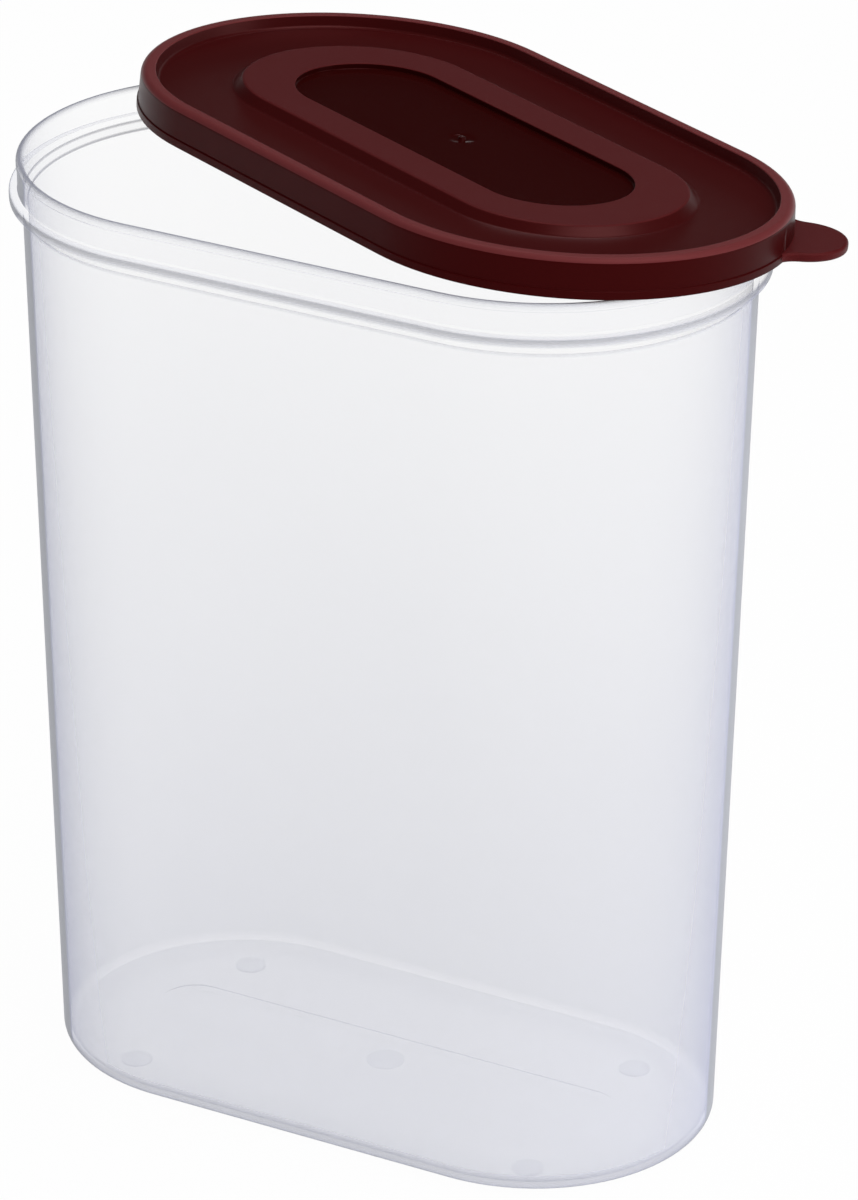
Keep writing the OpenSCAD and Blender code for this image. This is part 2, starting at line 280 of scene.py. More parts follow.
# Round the flange, up the collar and over the lip
flange_and_lip = [
    (*flare_top, EDGE_RADIUS, (-0.10, 0.25)),
    (FLANGE_REACH, flange_top - 1.2, 0, 0.50),
    (FLANGE_REACH, flange_top, EDGE_RADIUS, (0.60, 0.0)),
    (1.3, flange_top, 0, -0.08),
    (collar_outer, flange_top, EDGE_RADIUS / 2, -0.12),
    (collar_outer, flange_top + 0.8, 0, 0.0),
    (collar_outer, HEIGHT - LIP_BEAD_HEIGHT, EDGE_RADIUS / 2),
    (0, HEIGHT - LIP_BEAD_HEIGHT + LIP_BEAD, EDGE_RADIUS / 2),
    (0, HEIGHT, lip_radius, (0.15, 0.75)),
    (collar_inner, HEIGHT, lip_radius, (0.75, 0.10)),
]
# Down the inside, in at the shoulder and down to the floor
inside = [
    (collar_inner, HEIGHT - 1.5, 0, 0.0),
    (collar_inner, shoulder_top + 0.5, 0, 0.0),
    (*step_top, EDGE_RADIUS, 0.55),
    (*between(step_top, step_foot, 0.25), 0, 0.05),
    (*between(step_top, step_foot, 0.75), 0, 0.05),
    (*step_foot, EDGE_RADIUS, 0.60),
    (inner_face(shoulder_bottom - 0.5), shoulder_bottom - 0.5, 0, 0.0),
    (inner_face(floor_z), floor_z, FLOOR_RADIUS, (0.0, -0.10)),
    (FLAT_END, floor_z, 0, -0.10),
]
container_section = rounded(outside + flange_and_lip + inside)
print("container section:", len(container_section), "points")

# %% [markdown]
# A narrow panel along the middle of the bottom is pushed up a little, which stiffens it, and the
# moulding gate has left a round boss in the middle of that panel. Both are more rings of the
# same stack, so the whole container is one closed skin. Cutting them in with booleans would give
# the same shape with worse faces.

# %% Bottom panel, gate boss and container mesh
BASE_RISE, BASE_STEP, BASE_RUN = 1.2, 1.2, 4
GATE_RADIUS, GATE_HEIGHT = 5.5, 0.4
FLOOR_MIDDLE = 5
underside_z = FOOT_HEIGHT + BASE_RISE
panel_below = rounded([
    (-BASE_RUN, underside_z), (-BASE_STEP, underside_z, BASE_STEP / 2),
    (0, FOOT_HEIGHT, BASE_STEP / 2), (BASE_RUN, FOOT_HEIGHT),
])
panel_above = rounded([
    (BASE_RUN, floor_z), (0, floor_z, BASE_STEP / 2),
    (-BASE_STEP, floor_z + BASE_RISE, BASE_STEP / 2), (-BASE_RUN, floor_z + BASE_RISE),
])
# Radius and height of the boss's rings, outward from the dimple in its middle
gate_boss = [(0.3, 0.15), (1.2, 0.15), (1.5, 0), (GATE_RADIUS - 0.25, 0), (GATE_RADIUS, 0.2),
             (GATE_RADIUS + 0.1, GATE_HEIGHT)]
rings = [round_ring(RIM, r, underside_z - GATE_HEIGHT + z) for r, z in gate_boss]
rings += swept(BASE_PANEL, panel_below) + swept(RIM, container_section)
rings += swept(BASE_PANEL, panel_above)
rings.append(round_ring(RIM, FLOOR_MIDDLE, floor_z + BASE_RISE))
container = shell("container_body", rings)
print("container mesh:", len(container.data.polygons), "faces")

# %% [markdown]
# The four feet are low round discs with broken edges. Each could be a cylinder with a bevel, but
# a stack of round rings already has its edge. The feet are united with the bottom, so that no
# hidden face is left inside the milky plastic, where it would show.

# %% Feet
FOOT_X, FOOT_Y = 63.9, 32.6
FOOT_RADIUS, FOOT_TOP, FOOT_MIDDLE = 4.5, 1.5, 0.2
FOOT_EDGE, FOOT_EDGE_CUT = 0.2, 0.06
FOOT_STEPS = 40


def foot(x, y):
    """One foot round the point (x, y), its top inside the bottom."""
    section = [(FOOT_MIDDLE, 0), (FOOT_RADIUS - FOOT_EDGE, 0),
               (FOOT_RADIUS - FOOT_EDGE_CUT, FOOT_EDGE_CUT), (FOOT_RADIUS, FOOT_EDGE),
               (FOOT_RADIUS, FOOT_TOP), (FOOT_MIDDLE, FOOT_TOP)]
    turns = [math.tau * k / FOOT_STEPS for k in range(FOOT_STEPS)]
    return shell("foot", [[(x + r * math.cos(w), y + r * math.sin(w), z) for w in turns]
                          for r, z in section])


feet = [foot(x * FOOT_X, y * FOOT_Y) for x in (-1, 1) for y in (-1, 1)]
container = outward(join_solid(container, *[outward(f) for f in feet]))
print("container with feet:", len(container.data.polygons), "faces")

# %% [markdown]
# ## The lid
#
# The lid's section starts at the gate mark in the middle. It crosses the polished recess, climbs
# to the raised panel, drops to the deck, rises to the land round the top and goes over and down
# the skirt. Then it returns underneath, through the channel that takes the container's collar,
# at an even wall thickness. A Screw modifier would turn such a section into a round lid, but the
# oval needs straight sides too, so it is swept in rings like the container.

# %% Sizes of the lid, its land at height 0
PANEL = (160.4, 67.0)
RECESS = (127.6, 43.2)
LID_WALL, LID_ROOF = 1.3, 1.5
HEADROOM, FIT_CLEARANCE, SKIRT_GAP = 1.1, 0.2, 0.3
LAND_WIDTH, DECK_DEPTH, DECK_WALL_LEAN = 4.8, 3.6, 0.9
SKIRT_LEAN, SKIRT_BEAD, SKIRT_BEAD_HEIGHT = 0.4, 0.4, 2.4
SNAP_REACH, SNAP_HEIGHT = 0.25, 1.4
LID_EDGE, LAND_EDGE, DECK_FILLET, CHANNEL_EDGE = 2.0, 0.4, 1.2, 0.5
PANEL_RISE, PANEL_SLOPE, PANEL_RADIUS = 2.6, 2.8, 1.5
RECESS_DEPTH, RECESS_EDGE = 1.6, 0.3
NIB_HEIGHT, DIMPLE_DEPTH = 0.4, 0.3

deck_z = -DECK_DEPTH
panel_z = deck_z + PANEL_RISE
recess_z = panel_z - RECESS_DEPTH
skirt_z = SKIRT_GAP - COLLAR_HEIGHT - HEADROOM - LID_ROOF
bead_z = skirt_z + SKIRT_BEAD_HEIGHT
snap_z = -LID_ROOF - HEADROOM - LIP_BEAD_HEIGHT - FIT_CLEARANCE
skirt_face = FLANGE_REACH - SKIRT_BEAD
channel_outer = FIT_CLEARANCE
channel_inner = collar_inner - FIT_CLEARANCE
land_inner = FLANGE_REACH - LAND_WIDTH
deck_edge = land_inner - DECK_WALL_LEAN
under_shift = LID_WALL * PANEL_RISE / math.hypot(PANEL_RISE, PANEL_SLOPE)
print("the skirt is %.1f mm deep and the deck lies %.1f mm down" % (-skirt_z, -deck_z))

# %% Lid sections
# How far a section runs on over the flat before the next one takes over
RUN_IN, RUN_OUT, RECESS_RUN = 4, 3, 2
# How far the last ring underneath stays from the middle line
UNDER_MIDDLE = 4

rim_section = rounded([
    (deck_edge - RUN_IN, deck_z),
    (deck_edge, deck_z, DECK_FILLET),
    (land_inner, 0, LAND_EDGE),
    (skirt_face - SKIRT_LEAN, 0, LID_EDGE),
    (skirt_face, bead_z, 0.2),
    (FLANGE_REACH, bead_z, SKIRT_BEAD * 0.9),
    (FLANGE_REACH, skirt_z, SKIRT_BEAD),
    (channel_outer, skirt_z, 0.3),
    (channel_outer, snap_z - SNAP_HEIGHT),
    (channel_outer - SNAP_REACH, snap_z - SNAP_HEIGHT / 2, 0.4),
    (channel_outer, snap_z),
    (channel_outer, -LID_ROOF, CHANNEL_EDGE),
    (channel_inner, -LID_ROOF, CHANNEL_EDGE),
    (channel_inner, deck_z - LID_WALL, LID_WALL / 2),
    (deck_edge - RUN_IN, deck_z - LID_WALL),
])
panel_top = rounded([
    (-RUN_IN, panel_z), (0, panel_z, PANEL_RADIUS), (PANEL_SLOPE, deck_z, PANEL_RADIUS),
    (PANEL_SLOPE + RUN_OUT, deck_z),
])
panel_under = rounded([
    (PANEL_SLOPE + RUN_OUT, deck_z - LID_WALL),
    (PANEL_SLOPE - under_shift, deck_z - LID_WALL, 2.2),
    (-under_shift, panel_z - LID_WALL, PANEL_RADIUS / 2),
    (-RUN_IN, panel_z - LID_WALL),
])
recess_top = rounded([
    (-RECESS_RUN, recess_z), (0, recess_z, RECESS_EDGE), (0, panel_z, RECESS_EDGE),
    (RUN_OUT, panel_z),
])
recess_under = rounded([
    (RUN_OUT, panel_z - LID_WALL), (LID_WALL, panel_z - LID_WALL, RECESS_EDGE),
    (LID_WALL, recess_z - LID_WALL, LID_WALL / 2), (-RECESS_RUN, recess_z - LID_WALL),
])
# Radius and height of the rings of the gate's nib and of the dimple round it
gate_nib = [(0.2, NIB_HEIGHT), (0.8, NIB_HEIGHT), (1.0, 0.25), (1.0, -0.15),
            (1.2, -DIMPLE_DEPTH), (3.7, -DIMPLE_DEPTH), (4.1, 0)]
rings = [round_ring(RECESS, r, recess_z + z) for r, z in gate_nib]
rings += swept(RECESS, recess_top) + swept(PANEL, panel_top) + swept(RIM, rim_section)
rings += swept(PANEL, panel_under) + swept(RECESS, recess_under)
rings.append(round_ring(RECESS, UNDER_MIDDLE, recess_z - LID_WALL))
print("lid rings:", len(rings))

# %% [markdown]
# The lid has five finishes. Four are the mould's, and the fifth, on the land, is a paler pigment
# that is painted sheen. Each face gets the number of its finish now, while the rings still tell
# where it lies. Painting a mask would do as well, but the finishes of a mould change along its
# edges, and those are rings here.

# %% Lid mesh with its finishes
SATIN, POLISHED, MATT, DULL, LAND_SHEEN_PAINTED = range(5)
# Finish, oval and height of a field, and how far the finish runs past the oval and down
LID_FIELDS = ((POLISHED, RECESS, recess_z, 0.05, 0.5), (MATT, PANEL, panel_z, 0.7, 0.4))
LAND_DROP, SKIRT_FROM = 1.4, 1.2


def lid_zone(ring_a, ring_b):
    """Polished recess, matt panel, land with painted sheen, dull skirt, and satin elsewhere."""
    half_width = max(abs(p[1]) for p in ring_a + ring_b)
    low = min(ring_a[0][2], ring_b[0][2])
    for zone, oval, z, past, drop in LID_FIELDS:
        if half_width < oval[1] / 2 + past and low > z - drop:
            return zone
    offset = half_width - RIM[1] / 2
    # The land takes the pale pigment that is painted sheen.
    if offset > (land_inner + deck_edge) / 2 and low > -LAND_DROP:
        return LAND_SHEEN_PAINTED
    return DULL if offset > SKIRT_FROM else SATIN


lid = shell("lid_body", rings, lid_zone)
print("lid mesh:", len(lid.data.polygons), "faces, of them satin, polished, matt, dull, rubbed:",
      [sum(f.material_index == zone for f in lid.data.polygons) for zone in range(5)])

# %% [markdown]
# The thumb tab stands out of the skirt at one corner of the lid. It is a rounded tongue with
# hollow corners where it leaves the skirt, so that it doesn't tear there. Its outline is a chain
# of arcs. Extruding it and bevelling the edges would round the hidden root too, so rings of the
# outline are pulled in a little at the top and bottom instead, all but the root.

# %% Thumb tab outline
TAB_ANGLE = math.radians(46.4)
TAB_LENGTH, TAB_HALF, TAB_THICK = 14.7, 13.5, 2.6
TAB_CORNER, TAB_HOLLOW, TAB_EDGE = 13.0, 6.0, 0.9
# Depth of the root inside the skirt, and the angles that it runs past the hollow and stops at
ROOT_DEPTH, ROOT_PAST, ROOT_STOP = 1.3, 1.2, 2.4
skirt_radius = RIM[1] / 2 + skirt_face


def arc_points(cx, cy, r, a, b, steps=14):
    """Points of an arc round (cx, cy), from angle a to angle b in degrees."""
    return [(cx + r * math.cos(math.radians(a + (b - a) * k / steps)),
             cy + r * math.sin(math.radians(a + (b - a) * k / steps))) for k in range(steps + 1)]


hollow_y = TAB_HALF + TAB_HOLLOW
hollow_x = math.sqrt((skirt_radius + TAB_HOLLOW) ** 2 - hollow_y ** 2)
lean = math.degrees(math.atan2(hollow_y, hollow_x))
corner_x = skirt_radius + TAB_LENGTH - TAB_CORNER
corner_y = TAB_HALF - TAB_CORNER
touch = math.degrees(math.atan2(hollow_y - corner_y, hollow_x - corner_x))
upper = arc_points(corner_x, corner_y, TAB_CORNER, 0, touch, 24)
upper += arc_points(hollow_x, hollow_y, TAB_HOLLOW, 180 + touch, 180 + lean)[1:]
upper += arc_points(0, 0, skirt_radius - ROOT_DEPTH, lean + ROOT_PAST, ROOT_STOP, 8)
outline = upper + [(x, -y) for x, y in reversed(upper)]
print("the tab is %.1f mm wide and reaches %.1f mm from the skirt" % (2 * TAB_HALF, TAB_LENGTH))

# %% Thumb tab mesh
EDGE_STEPS = 6
# Places that are nearer than this count as one
NEAR = 0.1


def pulled_in(points, d):
    """The outline moved inward by d along its own normals, apart from its root in the skirt."""
    moved = []
    for i, (x, y) in enumerate(points):
        if math.hypot(x, y) < skirt_radius - ROOT_DEPTH + NEAR:
            moved.append((x, y))
            continue
        before, after = Vector(points[i - 1]), Vector(points[(i + 1) % len(points)])
        along = (after - before).normalized()
        moved.append((x - along.y * d, y + along.x * d))
    return moved


tab_rings = []
for k in range(EDGE_STEPS + 1):
    w = math.pi / 2 * k / EDGE_STEPS
    flat = pulled_in(outline, TAB_EDGE * (1 - math.sin(w)))
    tab_rings.append([(x, y, TAB_EDGE * (1 - math.cos(w))) for x, y in flat])
tab_rings += [[(x, y, TAB_THICK - z) for x, y, z in ring] for ring in reversed(tab_rings)]
turn = Matrix.Rotation(TAB_ANGLE, 3, "Z")
tab_rings = [[tuple(turn @ Vector(p) + Vector((rim_end_x, 0, skirt_z))) for p in ring]
             for ring in tab_rings]
tab = outward(shell("thumb_tab", tab_rings))
for face in tab.data.polygons:
    face.material_index = MATT
lid = outward(join_solid(outward(lid), tab))
print("lid with its tab:", len(lid.data.polygons), "faces")

# %% [markdown]
# ## Lay the lid on the rim
#
# The loose lid is turned about the vertical and tips a little to the far side, where it hangs
# over, until the underside of its deck meets the lip. A rigid body simulation could drop it
# there, but then its place would hang on the simulation's settings. So the turn is written
# here, and the place comes from the solid lid's box, which puts both lids in the same spot.

# %% Place the lid
LID_ROLL, LID_PITCH, LID_YAW = (math.radians(a) for a in (-4.5, -0.25, -25.3))
lid.data.transform(Euler((LID_ROLL, LID_PITCH, LID_YAW), "XYZ").to_matrix().to_4x4())
solid_low, solid_high = (Vector(corner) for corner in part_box("lid"))
low = Vector([min(v.co[i] for v in lid.data.vertices) for i in range(3)])
high = Vector([max(v.co[i] for v in lid.data.vertices) for i in range(3)])
shift = (solid_low + solid_high) / 2 - (low + high) / 2
lid.data.transform(Matrix.Translation(shift))
print("lid moved to", [round(c, 4) for c in shift], "box differs by",
      [round(abs(a - b), 5) for a, b in zip(high - low, solid_high - solid_low)])

# %% [markdown]
# ## Surfaces
#
# Both pieces share one effect: the fine spark-eroded grain of the mould, which breaks up the
# shine. It could be modelled only with millions of faces, so it is a bump. It is a node group
# that gives out a height for a Bump node and a mask between 0 and 1. The shaders themselves
# stay in each material.

# %% Helpers that add nodes
def feed(tree, socket, value):
    """Gives an input its value: a link from another node's output, or a plain value."""
    if isinstance(value, bpy.types.NodeSocket):
        tree.links.new(value, socket)
    else:
        socket.default_value = value


def node(tree, kind, **settings):
    """Adds a node, with its inputs (by name) fed and its properties set."""
    made = tree.nodes.new(kind)
    for name, value in settings.items():
        if name in made.inputs:
            feed(tree, made.inputs[name], value)
        else:
            setattr(made, name, value)
    return made


def maths(tree, operation, *values, clamp=False):
    """What a Math node gives for these values, kept between 0 and 1 if clamp is set."""
    made = node(tree, "ShaderNodeMath", operation=operation, use_clamp=clamp)
    for socket, value in zip(made.inputs, values):
        feed(tree, socket, value)
    return made.outputs[0]


def ranged(tree, value, before, after, way="LINEAR"):
    """A value mapped from one range on to another, and held at its ends."""
    made = node(tree, "ShaderNodeMapRange", interpolation_type=way, Value=value, **{
        "From Min": before[0], "From Max": before[1], "To Min": after[0], "To Max": after[1]})
    return made.outputs["Result"]


print("node helpers:", [f.__name__ for f in (feed, node, maths, ranged)])

# %% Shared node group: mould grain
WAVE_SHARE = 0.35

grain_group = bpy.data.node_groups.new("mould_grain", "ShaderNodeTree")
for label, default in (("Fine Scale", 2600.0), ("Waviness Scale", 24.0)):
    socket = grain_group.interface.new_socket(name=label, in_out="INPUT",
                                              socket_type="NodeSocketFloat")
    socket.default_value = default
for label in ("Height", "Mask"):
    grain_group.interface.new_socket(name=label, in_out="OUTPUT", socket_type="NodeSocketFloat")
given = node(grain_group, "NodeGroupInput")
place = node(grain_group, "ShaderNodeTexCoord").outputs["Object"]
fine = node(grain_group, "ShaderNodeTexNoise", Vector=place, Scale=given.outputs["Fine Scale"],
            Detail=2.0, Roughness=0.6).outputs["Fac"]
wavy = node(grain_group, "ShaderNodeTexNoise", Vector=place, Detail=3.0, Roughness=0.5,
            Scale=given.outputs["Waviness Scale"]).outputs["Fac"]
node(grain_group, "NodeGroupOutput", Mask=wavy,
     Height=maths(grain_group, "MULTIPLY_ADD", wavy, WAVE_SHARE, fine))
print("group mould_grain:", len(grain_group.nodes), "nodes")

# %% [markdown]
# The lid is one pigmented plastic with five finishes. The deck is satin. The raised panel and the
# tab are matt: a coarser grain scatters the light that skims over them, and their pigment is made
# a little paler, which is painted sheen. The land round the top has the palest pigment, which is
# painted sheen. The recess is polished and has a darker pigment, so it stays deep, and the skirt
# is dull. One material with a mask could do the same, but five small ones are plainer to read and
# to change. The shine is tinted and weaker than bare plastic's, so that the red stays deep in a
# white studio.

# %% Lid materials
MICRON = 1e-6
PLASTIC_IOR = 1.49
SHINE_TINT, SHINE_SPAN = (1, 0.35, 0.35, 1), (0.3, 0.7)
LID_FINISHES = {
    # pigment, strength of the shine, roughness, scales of the grain and waves, depth in microns
    "satin": ((0.050, 0.0034, 0.0036, 1), 0.26, (0.28, 0.34), (2200, 30), 12),
    "polished": ((0.026, 0.0018, 0.0016, 1), 0.12, (0.14, 0.17), (300, 18), 2),
    # The matt pigment is paler than the satin one, which is painted sheen.
    "matt": ((0.084, 0.0085, 0.0095, 1), 0.16, (0.44, 0.50), (2600, 30), 22),
    "dull": ((0.044, 0.0026, 0.0028, 1), 0.06, (0.28, 0.34), (2200, 30), 12),
    # The land's pale pigment is painted sheen.
    "land_sheen_painted": ((0.142, 0.0260, 0.0280, 1), 0.20, (0.36, 0.44), (2600, 30), 16),
}


def new_material(name):
    material = bpy.data.materials.new(name)
    material.use_nodes = True
    material.node_tree.nodes.clear()
    return material, material.node_tree


def grained(tree, shader, scales, microns):
    """Feeds a shader's Normal from the grain and returns the grain's mask."""
    group = node(tree, "ShaderNodeGroup", node_tree=grain_group)
    group.inputs["Fine Scale"].default_value = scales[0]
    group.inputs["Waviness Scale"].default_value = scales[1]
    bump = node(tree, "ShaderNodeBump", Strength=1.0, Distance=microns * MICRON,
                Height=group.outputs["Height"])
    feed(tree, shader.inputs["Normal"], bump.outputs["Normal"])
    return group.outputs["Mask"]


def red_plastic(finish, pigment, level, roughness, scales, microns):
    """Pigmented plastic with a grain of the given depth, its roughness wandering a little."""
    material, tree = new_material("red_plastic_" + finish)
    skin = node(tree, "ShaderNodeBsdfPrincipled", IOR=PLASTIC_IOR, **{
        "Base Color": pigment, "Specular IOR Level": level, "Specular Tint": SHINE_TINT})
    mask = grained(tree, skin, scales, microns)
    feed(tree, skin.inputs["Roughness"], ranged(tree, mask, SHINE_SPAN, roughness))
    node(tree, "ShaderNodeOutputMaterial", Surface=skin.outputs[0])
    return material


lid_finishes = [red_plastic(finish, *values) for finish, values in LID_FINISHES.items()]
print("lid finishes:", [m.name for m in lid_finishes])

# %% [markdown]
# Natural polypropylene is clear but milky. Each wall surface lets most light straight through
# and scatters a little, more where it is seen at a slant, because the line of sight then passes
# through more plastic. That is why the walls are nearly clear face on and grey at the sides.
# Light could be traced through the plastic with a transmissive shader and a scattering volume,
# but in walls this thin that is slow and grainy. Here a surface is covered a little instead, by
# its alpha.
#
# How much it is covered face on is written on the mesh itself, as a number at every point named
# haze. It grows towards the bottom, which is painted shade for the shaded floor seen through the
# lower walls, and it adds the marks of the section's corners, painted shade for the light they
# bend aside. The marks alone are a second number, which paints that shade into the colour too.

# %% Haze and painted shade of every point of the container
FLOOR_HAZE = 0.11
# How much the haze grows per millimetre downward: painted shade for the shaded floor seen through
# the lower walls.
WALL_HAZE, SHADE_FALL_PAINTED = 0.26, 0.0008
# A mesh point this near to a point of the section takes its mark
SAME_POINT = 0.03


def rim_offset(point):
    """Offset and height, in millimetres, of a point of the container."""
    x, y, z = (c / MM for c in point)
    return math.hypot(max(abs(x) - rim_end_x, 0), y) - RIM[1] / 2, z


section_points = KDTree(len(container_section))
for i, (offset, z, _) in enumerate(container_section):
    section_points.insert((offset, z, 0), i)
section_points.balance()
haze = container.data.attributes.new("haze", "FLOAT", "POINT")
corner_shade = container.data.attributes.new("corner_shade", "FLOAT", "POINT")
for i, vertex in enumerate(container.data.vertices):
    offset, z = rim_offset(vertex.co)
    if offset < FLAT_END + NEAR:
        haze.data[i].value = FLOOR_HAZE
        continue
    _, nearest, gap = section_points.find((offset, z, 0))
    mark = container_section[nearest][2] if gap < SAME_POINT else 0.0
    # Painted shade: more haze lower down, and the corners' marks.
    haze.data[i].value = WALL_HAZE - SHADE_FALL_PAINTED * z + mark
    corner_shade.data[i].value = max(mark, 0.0)
print("haze from %.2f to %.2f" % (min(h.value for h in haze.data),
                                  max(h.value for h in haze.data)))

# %% [markdown]
# Only the side of a wall's surface that faces the viewer scatters, so that each wall counts once
# and the moulded steps on the far side of a wall don't show twice. Past a steep angle a surface
# is solid and darker, which draws the thick edge of the outline: painted shade for the light that
# real plastic bends aside there. The floor takes its angle from the upright, because the low step
# of its panel would stand out otherwise. The underside and the feet have one faint haze all over,
# so that they only just show through the floor.

# %% Milky plastic
# The second colour, for the inner surface and the floor, is a darker copy of the milk: painted
# shade for the inside of the container.
MILK, MILK_PAINTED_SHADE, FOOT_BLUE = (0.58, 0.61, 0.83, 1), (0.54, 0.56, 0.68, 1), (0.46, 0.54, 0.78, 1)
# The next two colours are painted shade: at the marks of the section's corners, and at the solid
# edge of the outline.
CORNER_SHADE_COLOUR, OUTLINE_SHADE = (0.34, 0.35, 0.42, 1), (0.43, 0.45, 0.51, 1)
CORNER_SHADE_GAIN, SLANT_POWER, SOLID_FADE = 2.0, 3.2, 0.03
CLOUD_SCALES, CLOUD_MICRONS = (900, 9), 2
CLOUD_SPAN, CLOUD = (0.2, 0.8), (0.93, 1.07)


def blended(tree, share, a, b):
    """Colour a with a share of colour b."""
    return node(tree, "ShaderNodeMix", data_type="RGBA", Factor=share, A=a, B=b).outputs["Result"]


def clear_skin(name, colour):
    """New material, its tree, its shader, the grain's mask, and the plastic's colour, darkened
    with painted shade at the marks of the section's corners."""
    material, tree = new_material("milky_plastic_" + name)
    skin = node(tree, "ShaderNodeBsdfPrincipled", IOR=PLASTIC_IOR, Roughness=0.42)
    node(tree, "ShaderNodeOutputMaterial", Surface=skin.outputs[0])
    # The corners' marks paint shade into the colour, where real plastic bends light aside.
    written = node(tree, "ShaderNodeAttribute", attribute_name="corner_shade").outputs["Fac"]
    corner_shaded = blended(tree, maths(tree, "MULTIPLY", written, CORNER_SHADE_GAIN, clamp=True), colour, CORNER_SHADE_COLOUR)
    return material, tree, skin, grained(tree, skin, CLOUD_SCALES, CLOUD_MICRONS), corner_shaded


def milky(name, colour, slant_share, solid_from, level=False):
    """A scattering surface. Its cover is the mesh's haze face on, grows towards a glancing angle,
    and is full past solid_from (0 is face on, 1 is edge on). It doesn't count from its back. A
    level one takes its angle from the upright."""
    material, tree, skin, mask, corner_shaded = clear_skin(name, colour)
    written = node(tree, "ShaderNodeAttribute", attribute_name="haze").outputs["Fac"]
    face_on = maths(tree, "MULTIPLY", written, ranged(tree, mask, CLOUD_SPAN, CLOUD))
    angle = node(tree, "ShaderNodeLayerWeight", Blend=0.5)
    if level:
        feed(tree, angle.inputs["Normal"], node(tree, "ShaderNodeCombineXYZ", Z=1.0).outputs[0])
    facing = angle.outputs["Facing"]
    curve = maths(tree, "POWER", facing, SLANT_POWER)
    slant = maths(tree, "MULTIPLY_ADD", curve, slant_share, face_on)
    solid = ranged(tree, facing, (solid_from - SOLID_FADE, solid_from + SOLID_FADE), (0, 1),
                   "SMOOTHSTEP")
    cover = maths(tree, "ADD", slant, solid, clamp=True)
    back = node(tree, "ShaderNodeNewGeometry").outputs["Backfacing"]
    front = maths(tree, "SUBTRACT", 1.0, back)
    # Where the surface is solid, at the outline, its colour turns to painted shade.
    feed(tree, skin.inputs["Base Color"], blended(tree, solid, corner_shaded, OUTLINE_SHADE))
    feed(tree, skin.inputs["Alpha"], maths(tree, "MULTIPLY", cover, front, clamp=True))
    return material


def faint(name, colour, haze):
    """A surface with one haze all over, which counts from both sides."""
    material, tree, skin, _, corner_shaded = clear_skin(name, colour)
    feed(tree, skin.inputs["Base Color"], corner_shaded)
    skin.inputs["Alpha"].default_value = haze
    return material


OUTER, INNER, FLAT, UNDERSIDE, FOOT = range(5)
container_finishes = [
    milky("outer", MILK, slant_share=1.0, solid_from=0.77),
    # The inner surface and the floor have the darker colour, painted shade for the inside.
    milky("inner", MILK_PAINTED_SHADE, slant_share=0.6, solid_from=0.95),
    milky("floor", MILK_PAINTED_SHADE, slant_share=1.0, solid_from=0.95, level=True),
    faint("underside", MILK, haze=0.02),
    faint("foot", FOOT_BLUE, haze=0.09),
]
print("milky plastic:", [m.name for m in container_finishes])

# %% [markdown]
# Which surface a face of the container belongs to follows from where its middle lies. Picking
# the faces by hand would need doing again after each change of size.
#
# Each piece then rides on its own body, so that the lid moves with its joint, and it takes the
# place of the solid model's piece, which would show through it otherwise.

# %% Give the container its surfaces
FEET_REACH = -15.0
# How far from a level the middle of a face may lie and still count as on it
FOOT_MARGIN, FLOOR_MARGIN, BOTTOM_MARGIN = 0.01, 0.02, 0.2


def dividing_line(z):
    """Offset that parts the inner surface from the outer one at height z."""
    if z < floor_z - BOTTOM_MARGIN:
        return -math.inf
    if z > flange_bottom:
        return (collar_outer + collar_inner) / 2
    return (outer_face(z) + inner_face(z)) / 2


def container_zone(offset, z, from_middle):
    """The surface of a face at an offset and height. The slope under the flange looks down, away
    from the light, so it takes the inner surface's darker colour, which is painted shade."""
    if z < underside_z + NEAR and offset < FEET_REACH:
        raised = z < FOOT_HEIGHT - FOOT_MARGIN or from_middle < GATE_RADIUS + NEAR
        return FOOT if raised else UNDERSIDE
    within = offset < dividing_line(z)
    if offset < FLAT_END + NEAR or within and z < floor_z + FLOOR_MARGIN:
        return FLAT
    return INNER if within or wall_top < z < flange_bottom else OUTER


for material in container_finishes:
    container.data.materials.append(material)
for face in container.data.polygons:
    offset, z = rim_offset(face.center)
    face.material_index = container_zone(offset, z, math.hypot(*face.center[:2]) / MM)
print("faces per container surface:",
      [sum(f.material_index == k for f in container.data.polygons) for k in range(5)])

# %% Finish the two pieces
for material in lid_finishes:
    lid.data.materials.append(material)
for piece, body, name in ((container, "container", "natural_plastic"),
                          (lid, "lid", "red_plastic")):
    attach(piece, body)
    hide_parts(body)
print("pieces:", [(o.name, len(o.data.materials), "surfaces") for o in (container, lid)])

# %% [markdown]
# ## Studio
#
# A long lens stands well back, as in catalogue work, so that the upright edges stay nearly
# parallel. A wide lens close by would spread them. The floor looks plain white, also to what
# mirrors it or lets it through, but it still takes the soft shadow. More light on the floor
# would make it white as well, but would bleach the object too. The world behind the floor is
# white as well, though it lights the object with less than half of that. What mirrors it sees
# it turn dark above the horizon, like the ceiling of a dim room, because a white ceiling would
# lay a grey veil on the lid's red.

# %% Camera
AZIMUTH, ELEVATION, ROLL, DISTANCE = 0.5017, 0.4407, -0.0051, 1.92366
LENS = 203.9
target = Vector((-0.001456, 0.027382, 0.13647))
back = Vector((math.sin(AZIMUTH) * math.cos(ELEVATION), -math.cos(AZIMUTH) * math.cos(ELEVATION),
               math.sin(ELEVATION)))
right = (-back).cross(Vector((0, 0, 1))).normalized()
down = (-back).cross(right)
rolled_right = right * math.cos(ROLL) + down * math.sin(ROLL)
rolled_up = right * math.sin(ROLL) - down * math.cos(ROLL)
camera = bpy.data.objects.new("camera", bpy.data.cameras.new("camera"))
bpy.context.collection.objects.link(camera)
camera.data.sensor_width = 36
camera.data.lens = LENS
camera.matrix_world = Matrix.Translation(target + back * DISTANCE) @ Matrix(
    (rolled_right, rolled_up, back)).transposed().to_4x4()
camera.data.clip_start, camera.data.clip_end = 0.1, 20
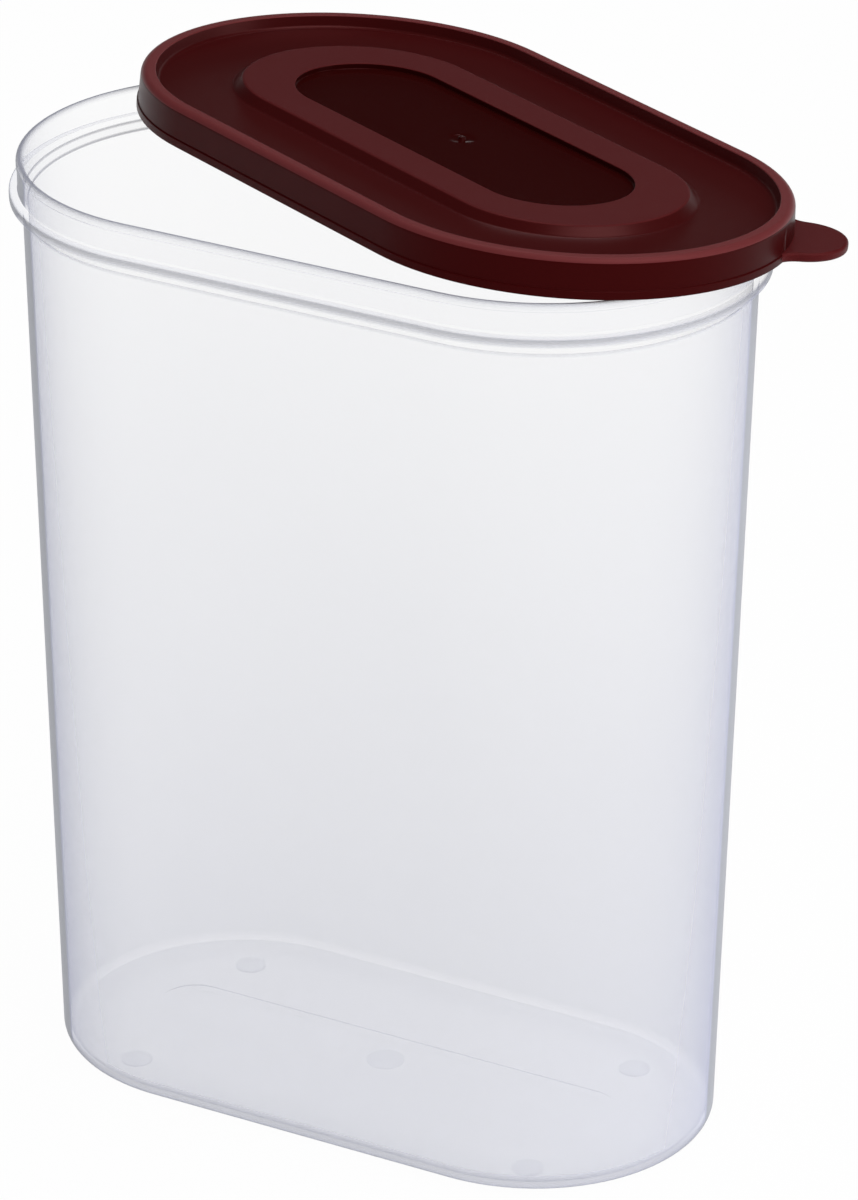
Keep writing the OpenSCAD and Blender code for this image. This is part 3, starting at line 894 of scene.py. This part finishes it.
bpy.context.scene.camera = camera
print("camera at", [round(c, 3) for c in camera.location])

# %% White floor
FLOOR_HALF, FLOOR_DROP = 6, 0.0002
WHITE_SHARE = 0.97
PAPER = (0.92, 0.92, 0.93, 1)


def any_ray(tree, *kinds):
    """1 for rays of any of these kinds, and 0 for the others."""
    path = node(tree, "ShaderNodeLightPath")
    found = path.outputs["Is %s Ray" % kinds[0]]
    for kind in kinds[1:]:
        found = maths(tree, "MAXIMUM", found, path.outputs["Is %s Ray" % kind])
    return found


def mixed(tree, share, a, b):
    """Shader a with a share of shader b."""
    made = node(tree, "ShaderNodeMixShader", Fac=share)
    feed(tree, made.inputs[1], a.outputs[0])
    feed(tree, made.inputs[2], b.outputs[0])
    return made


floor_mesh = bpy.data.meshes.new("floor")
floor_mesh.from_pydata([(x * FLOOR_HALF, y * FLOOR_HALF, -FLOOR_DROP)
                        for x, y in ((-1, -1), (1, -1), (1, 1), (-1, 1))], [], [(0, 1, 2, 3)])
floor = bpy.data.objects.new("floor", floor_mesh)
bpy.context.collection.objects.link(floor)
white, tree = new_material("white_floor")
paper = node(tree, "ShaderNodeBsdfDiffuse", Color=PAPER)
glow = node(tree, "ShaderNodeEmission", Color=(1, 1, 1, 1), Strength=1.0)
seen = maths(tree, "MULTIPLY", any_ray(tree, "Camera", "Transmission", "Glossy"), WHITE_SHARE)
node(tree, "ShaderNodeOutputMaterial", Surface=mixed(tree, seen, paper, glow).outputs[0])
floor_mesh.materials.append(white)
print("floor is", floor.dimensions.x, "m wide")

# %% World
ROOM_LIGHT, CEILING, CEILING_FROM = 0.42, 0.012, 0.12

world = bpy.data.worlds.new("studio")
bpy.context.scene.world = world
world.use_nodes = True
tree = world.node_tree
tree.nodes.clear()
towards = node(tree, "ShaderNodeSeparateXYZ",
               Vector=node(tree, "ShaderNodeTexCoord").outputs["Generated"])
mirrored = ranged(tree, towards.outputs["Z"], (0.0, CEILING_FROM), (1.0, CEILING))
room, white_sweep, dim_room = (node(tree, "ShaderNodeBackground", Color=(1, 1, 1, 1), Strength=s)
                               for s in (ROOM_LIGHT, 1.0, mirrored))
unseen = mixed(tree, any_ray(tree, "Glossy"), room, dim_room)
everything = mixed(tree, any_ray(tree, "Camera", "Transmission"), unseen, white_sweep)
node(tree, "ShaderNodeOutputWorld", Surface=everything.outputs[0])
print("world lights the object with", ROOM_LIGHT, "of white")

# %% [markdown]
# Three softboxes light the object: a strong one overhead to the front right, and two weak ones,
# low on the right and overhead behind. Bare point lamps would throw hard shadows and small hot
# spots, and the soft shadow on the floor would be lost.

# %% Softboxes
def softbox(name, place, aim, size, power):
    """A rectangular area light that looks at a point."""
    lamp = bpy.data.lights.new(name, "AREA")
    lamp.shape, lamp.size, lamp.size_y, lamp.energy = "RECTANGLE", size[0], size[1], power
    made = bpy.data.objects.new(name, lamp)
    bpy.context.collection.objects.link(made)
    made.location = place
    made.rotation_mode = "QUATERNION"
    made.rotation_quaternion = (Vector(aim) - Vector(place)).to_track_quat("-Z", "Y")


softbox("back", place=(-0.35, 0.85, 1.6), aim=(0, 0, 0.25), size=(0.9, 0.6), power=3)
softbox("key_right", place=(0.85, -0.2, 1.6), aim=(0, 0, 0.25), size=(1.4, 1.2), power=15)
softbox("side_right", place=(1.4, 0.45, 0.6), aim=(0, 0, 0.15), size=(0.6, 1.1), power=3)

# %% [markdown]
# ## Finish
#
# The Standard view transform shows colours as they are written. A filmic one would keep more of
# the brightest light, but would turn the white floor grey.

# %% Finish
bpy.context.scene.view_settings.view_transform = "Standard"
